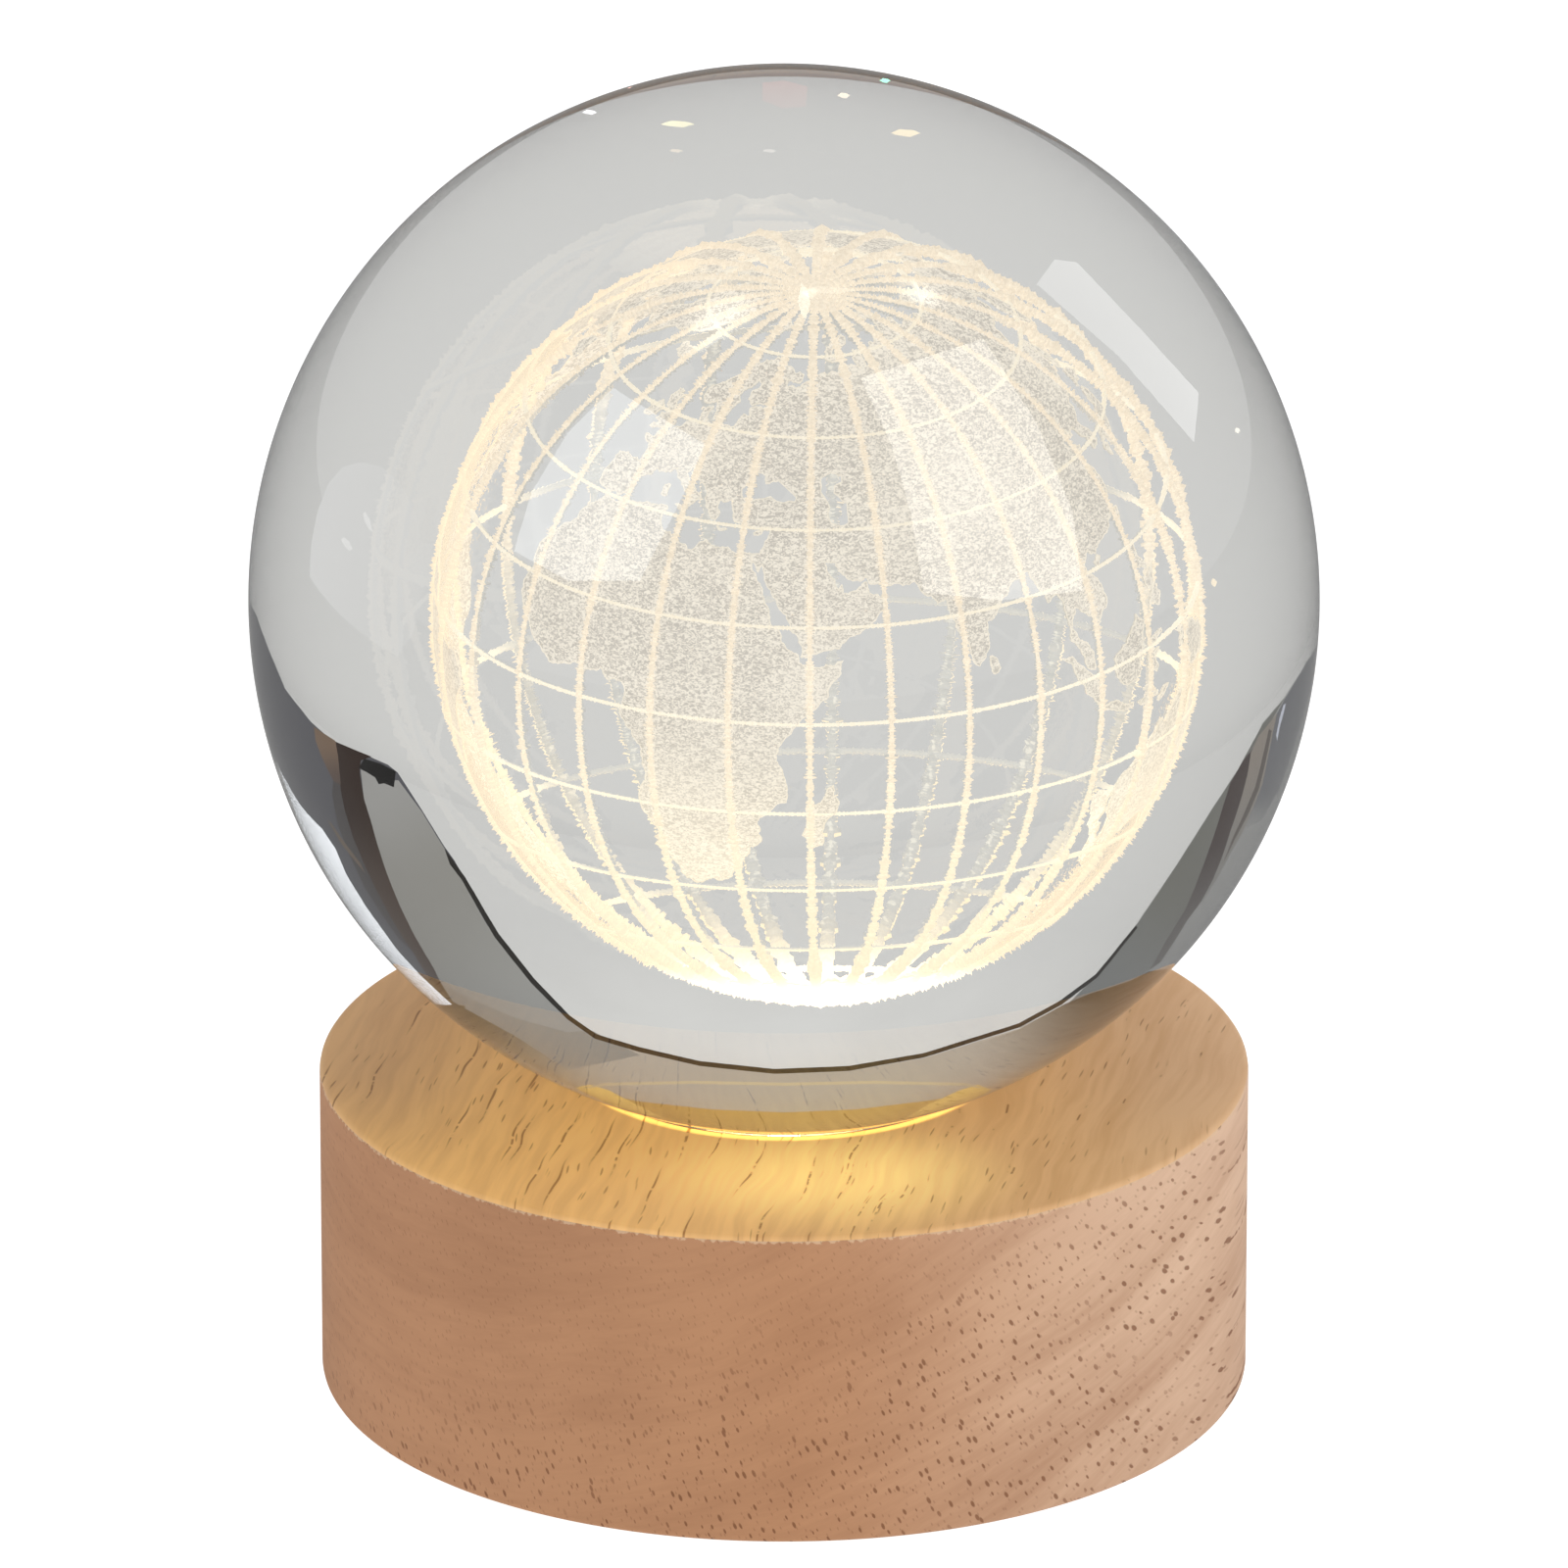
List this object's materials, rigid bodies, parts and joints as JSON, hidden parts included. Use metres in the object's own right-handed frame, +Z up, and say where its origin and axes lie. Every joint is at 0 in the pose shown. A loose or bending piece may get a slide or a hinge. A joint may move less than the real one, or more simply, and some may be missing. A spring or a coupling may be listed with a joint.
{
  "type": "crystal ball lamp",
  "caption": "Solid glass ball with a globe engraved inside it, resting in a round wooden base that lights it from below and holds its battery tray.",
  "frame": {"origin": "centre of the lamp's footprint, on the surface that it stands on", "axes": "+Z up along the ball's axis, -Y is the front, +Y is the switch side"},
  "size_m": [0.08, 0.08, 0.1024],
  "materials": {
    "ball_glass": "polished clear optical glass",
    "engraving": "laser-cut points inside the glass, lit from below",
    "base_wood": "bare pale hardwood, sanded",
    "tray_plastic": "fine moulded grain",
    "cell_wrap": "printed film sleeve, gloss",
    "contact_nickel": "nickel-plated spring sheet",
    "switch_steel": "tinned sheet",
    "knob_plastic": "moulded, satin",
    "pin_metal": "tinned ends",
    "screw_zinc": "zinc plated",
    "foot_rubber": "matte",
    "glue_foam": "foam tape",
    "board_white": "white solder resist",
    "led_package": "white package with phosphor window",
    "resistor_black": "matte",
    "solder_tin": "bright solder",
    "wire_red": "soft sleeve",
    "wire_black": "soft sleeve"
  },
  "bodies": {
    "base": {"battery_tray": "tray_plastic", "board_resistor": "resistor_black", "cell_1": "cell_wrap", "cell_2": "cell_wrap", "cell_3": "cell_wrap", "glue_pad": "glue_foam", "led_1": "led_package", "led_2": "led_package", "led_3": "led_package", "led_4": "led_package", "light_board": "board_white", "link_contact_left": "contact_nickel", "link_contact_right": "contact_nickel", "negative_terminal": "contact_nickel", "positive_terminal": "contact_nickel", "rubber_foot_1": "foot_rubber", "rubber_foot_2": "foot_rubber", "rubber_foot_3": "foot_rubber", "rubber_foot_4": "foot_rubber", "solder_pads": "solder_tin", "switch_case": "switch_steel", "switch_pins": "pin_metal", "tray_screws": "screw_zinc", "wire_positive": "wire_red", "wire_to_board": "wire_black", "wire_to_switch": "wire_black", "wooden_base": "base_wood"},
    "ball": {"crystal_ball": "ball_glass", "engraved_globe": "engraving"},
    "battery_door": {"battery_door": "tray_plastic"},
    "switch_knob": {"switch_knob": "knob_plastic"}
  },
  "joints": [
    {"name": "ball_lift", "type": "slide", "parent": "base", "child": "ball", "axis": [0, 0, 1], "range_m": [0, 0.03]},
    {"name": "door_hinge", "type": "hinge", "parent": "base", "child": "battery_door", "pos_m": [0, -0.01625, 0.00165], "axis": [-1, 0, 0], "range_deg": [0, 95]},
    {"name": "switch_slide", "type": "slide", "parent": "base", "child": "switch_knob", "axis": [1, 0, 0], "range_m": [0, 0.002]}
  ]
}
